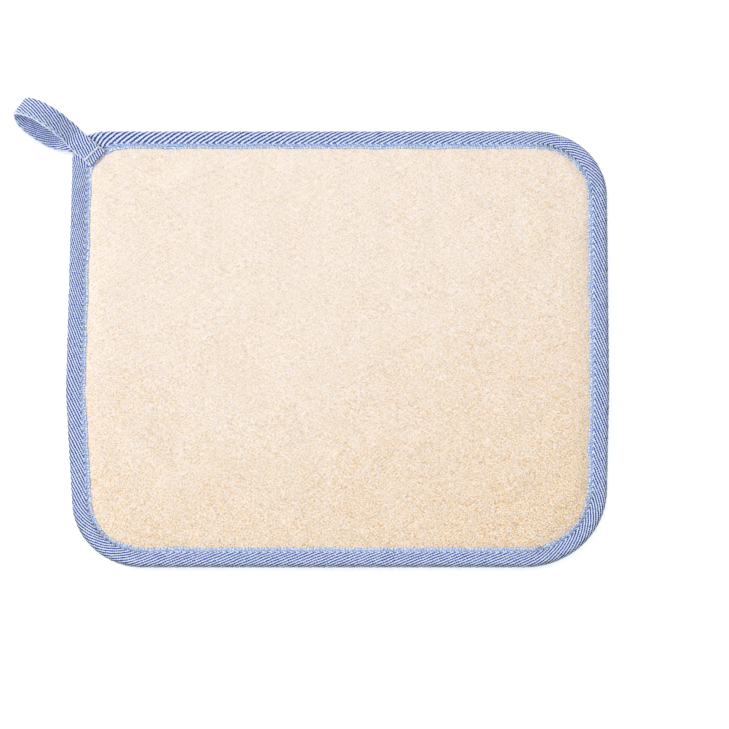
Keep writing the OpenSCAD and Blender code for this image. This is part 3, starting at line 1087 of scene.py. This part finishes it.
thread = thread_material("thread_pale", srgb(160, 186, 226), srgb(228, 238, 250))
white_thread = thread_material("thread_white", srgb(240, 244, 252), srgb(255, 255, 255))

face = make_loofah_face()
dress(face, loofah_material())
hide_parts("loofah_face")

back = make_terry_back()
dress(back, terry_material())
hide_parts("terry_back")

foam = make_foam()
dress(foam, foam_material())
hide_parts("foam_core")

binding = make_binding()
binding_twill = twill_material("twill_binding", 0.35, 1.0, srgb(132, 170, 232), srgb(248, 252, 255))
dress(binding, binding_twill)
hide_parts("edge_binding")

strap = make_strap()
fold_place = STRAP_W - STRAP_T / 2
strap_twill = twill_material("twill_strap", 0.25, 0.25, srgb(200, 216, 244), srgb(248, 251, 255), fold_place)
dress(strap, strap_twill)
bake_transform(strap)
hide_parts("loop_front_tab", "loop_back_tab", "hanging_loop")

# The turned tab crosses the line of the stitches further to the side. Its tack is turned a little more.
front_tab_y = STRAP_Y + STITCH_IN * math.sin(TAB_TURN)
tack_turn = TAB_TURN + math.radians(2)
needle = binding_thread("binding_needle_stitches", EDGE_TOP - 0.3, 1, front_tab_y)
bobbin = binding_thread("binding_bobbin_stitches", EDGE_Z + 0.3, -1, STRAP_Y)
front_tack = tack_thread("loop_front_tack_stitches", 7.0, 1, tack_turn)
back_tack = tack_thread("loop_back_tack_stitches", 0.4, -1, 0)
seam = seam_thread()
for stitches, node, finish in (
    (needle, "binding_needle_thread", thread),
    (bobbin, "binding_bobbin_thread", thread),
    (front_tack, "loop_front_tack", white_thread),
    (back_tack, "loop_back_tack", white_thread),
    (seam, "loop_edge_seam", thread),
):
    dress(stitches, finish)
    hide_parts(node)


# ---- Floor, light and camera ----

FLOOR_HALF = 3000
WORLD_LIGHT = 0.73
CAMERA_ELEVATION = math.radians(70.5)
CAMERA_DISTANCE = 6
CAMERA_TARGET = Vector((13.42, -8.6, 3.4)) * MM
CAMERA_LENS = 595.5


def make_floor():
    """A square floor, a hair's breadth under the lowest piece."""
    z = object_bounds()[0].z / MM - 0.02
    corners = [(x * FLOOR_HALF, y * FLOOR_HALF, z) for x, y in ((-1, -1), (1, -1), (1, 1), (-1, 1))]
    floor = make_piece("floor", corners, [(0, 1, 2, 3)])
    floor.data.materials.append(paper_material())


def area_light(name, place, size, energy):
    """A round lamp that points at the pad."""
    light = bpy.data.lights.new(name, "AREA")
    light.shape = "DISK"
    light.size = size
    light.energy = energy
    lamp = bpy.data.objects.new(name, light)
    bpy.context.scene.collection.objects.link(lamp)
    lamp.location = place
    lamp.rotation_euler = (-Vector(place)).to_track_quat("-Z", "Y").to_euler()


def make_camera():
    """The photograph's view: from the front and high up, with a long lens."""
    camera = bpy.data.objects.new("camera", bpy.data.cameras.new("camera"))
    bpy.context.scene.collection.objects.link(camera)
    back_off = Vector((0, -math.cos(CAMERA_ELEVATION), math.sin(CAMERA_ELEVATION)))
    camera.location = CAMERA_TARGET + back_off * CAMERA_DISTANCE
    camera.rotation_euler = (-back_off).to_track_quat("-Z", "Y").to_euler()
    camera.data.lens = CAMERA_LENS
    bpy.context.scene.camera = camera


make_floor()
area_light("key_light", (-2.6, 0.5, 2.7), 1.2, 56)
area_light("fill_light", (2.0, -1.6, 2.4), 2.0, 4)
make_camera()

scene = bpy.context.scene
scene.world = bpy.data.worlds.new("studio")
scene.world.use_nodes = True
background = scene.world.node_tree.nodes["Background"]
background.inputs["Color"].default_value = (1, 1, 1, 1)
background.inputs["Strength"].default_value = WORLD_LIGHT
scene.view_settings.view_transform = "Standard"
